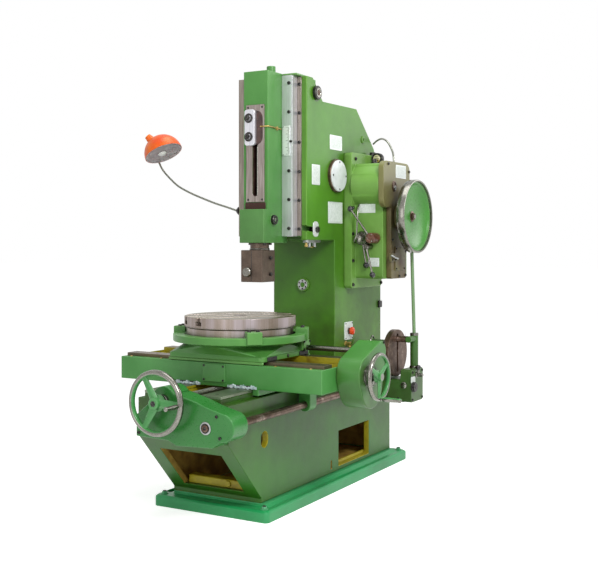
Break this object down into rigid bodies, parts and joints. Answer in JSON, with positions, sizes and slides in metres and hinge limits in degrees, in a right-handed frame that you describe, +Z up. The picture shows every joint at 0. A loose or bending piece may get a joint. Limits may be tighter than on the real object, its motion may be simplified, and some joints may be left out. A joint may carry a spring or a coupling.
{
  "type": "keyway slotting machine",
  "caption": "Floor-standing vertical slotting machine with a tilting ram guide, a round slotted table on crossed slides, hand wheels and a gearbox on the column side.",
  "frame": {"origin": "centre of the plinth's footprint, on the floor", "axes": "+Z up, +Y to the rear, +X to the operator's right, where the gearbox is"},
  "size_m": [1.4699, 1.877, 1.99],
  "materials": {
    "green_paint": "gloss",
    "steel": "satin",
    "oiled_iron": "satin",
    "white_paint": "satin",
    "orange_paint": "gloss",
    "red_plastic": "gloss",
    "black_plastic": "gloss"
  },
  "bodies": {
    "frame": {"base_plinth": "green_paint", "bed": "green_paint", "bed_ways": "oiled_iron", "column": "green_paint", "rear_cover": "green_paint", "end_cover": "green_paint", "spline_shaft": "steel", "gearbox_case": "green_paint", "gearbox_end_plate": "green_paint", "bearing_cover": "white_paint", "oil_sight": "steel", "feed_box": "green_paint", "crank_disc": "steel", "feed_rod": "green_paint", "stop_button": "red_plastic"},
    "guide": {"guide_head": "green_paint", "gib_plates": "steel", "guide_caps": "oiled_iron", "tilt_pivot": "steel", "tilt_clamp": "oiled_iron", "scale_plate": "steel", "lamp_tube": "steel", "lamp_shade": "orange_paint"},
    "ram": {"ram": "green_paint", "slot_plate": "steel", "ram_clamp": "steel", "ram_screw": "green_paint", "tool_head": "oiled_iron"},
    "saddle": {"saddle": "green_paint", "saddle_ways": "oiled_iron", "saddle_housing": "green_paint", "dial_collar": "steel", "drive_shaft": "steel"},
    "cross_slide": {"cross_slide": "green_paint", "worm_box": "green_paint", "table_ring": "green_paint"},
    "table": {"round_table": "steel"},
    "front_wheel": {"front_wheel": "steel", "bed_screw": "steel"},
    "cross_wheel": {"cross_wheel": "steel", "cross_screw": "steel"},
    "main_wheel": {"main_wheel": "green_paint"},
    "long_lever": {"long_lever": "steel"},
    "short_lever": {"short_lever": "steel"},
    "middle_lever": {"middle_lever": "steel"}
  },
  "joints": [
    {"name": "guide_tilt", "type": "hinge", "parent": "frame", "child": "guide", "pos_m": [0, -0.0835, 1.878], "axis": [-1, 0, 0], "range_deg": [0, 8]},
    {"name": "ram_stroke", "type": "slide", "parent": "guide", "child": "ram", "axis": [0, 0, 1], "range_m": [-0.12, 0.08]},
    {"name": "saddle_travel", "type": "slide", "parent": "frame", "child": "saddle", "axis": [0, 1, 0], "range_m": [-0.19, 0.23]},
    {"name": "cross_travel", "type": "slide", "parent": "saddle", "child": "cross_slide", "axis": [1, 0, 0], "range_m": [-0.25, 0.21]},
    {"name": "table_turn", "type": "hinge", "parent": "cross_slide", "child": "table", "pos_m": [0, -0.4695, 0.839], "axis": [0, 0, 1], "continuous": true},
    {"name": "front_wheel_turn", "type": "hinge", "parent": "frame", "child": "front_wheel", "pos_m": [-0.013, -1.0605, 0.524], "axis": [0, -1, 0], "continuous": true},
    {"name": "cross_wheel_turn", "type": "hinge", "parent": "saddle", "child": "cross_wheel", "pos_m": [0.69, -0.4695, 0.608], "axis": [1, 0, 0], "continuous": true},
    {"name": "main_wheel_turn", "type": "hinge", "parent": "frame", "child": "main_wheel", "pos_m": [0.48, 0.3875, 1.297], "axis": [1, 0, 0], "continuous": true},
    {"name": "long_lever_shift", "type": "hinge", "parent": "frame", "child": "long_lever", "pos_m": [0.334, 0.2465, 1.188], "axis": [0, -1, 0], "range_deg": [-12, 8]},
    {"name": "short_lever_shift", "type": "hinge", "parent": "frame", "child": "short_lever", "pos_m": [0.268, 0.2465, 1.188], "axis": [0, -1, 0], "range_deg": [-8, 8]},
    {"name": "middle_lever_shift", "type": "hinge", "parent": "frame", "child": "middle_lever", "pos_m": [0.306, 0.2465, 1.146], "axis": [0, -1, 0], "range_deg": [-8, 8]}
  ]
}
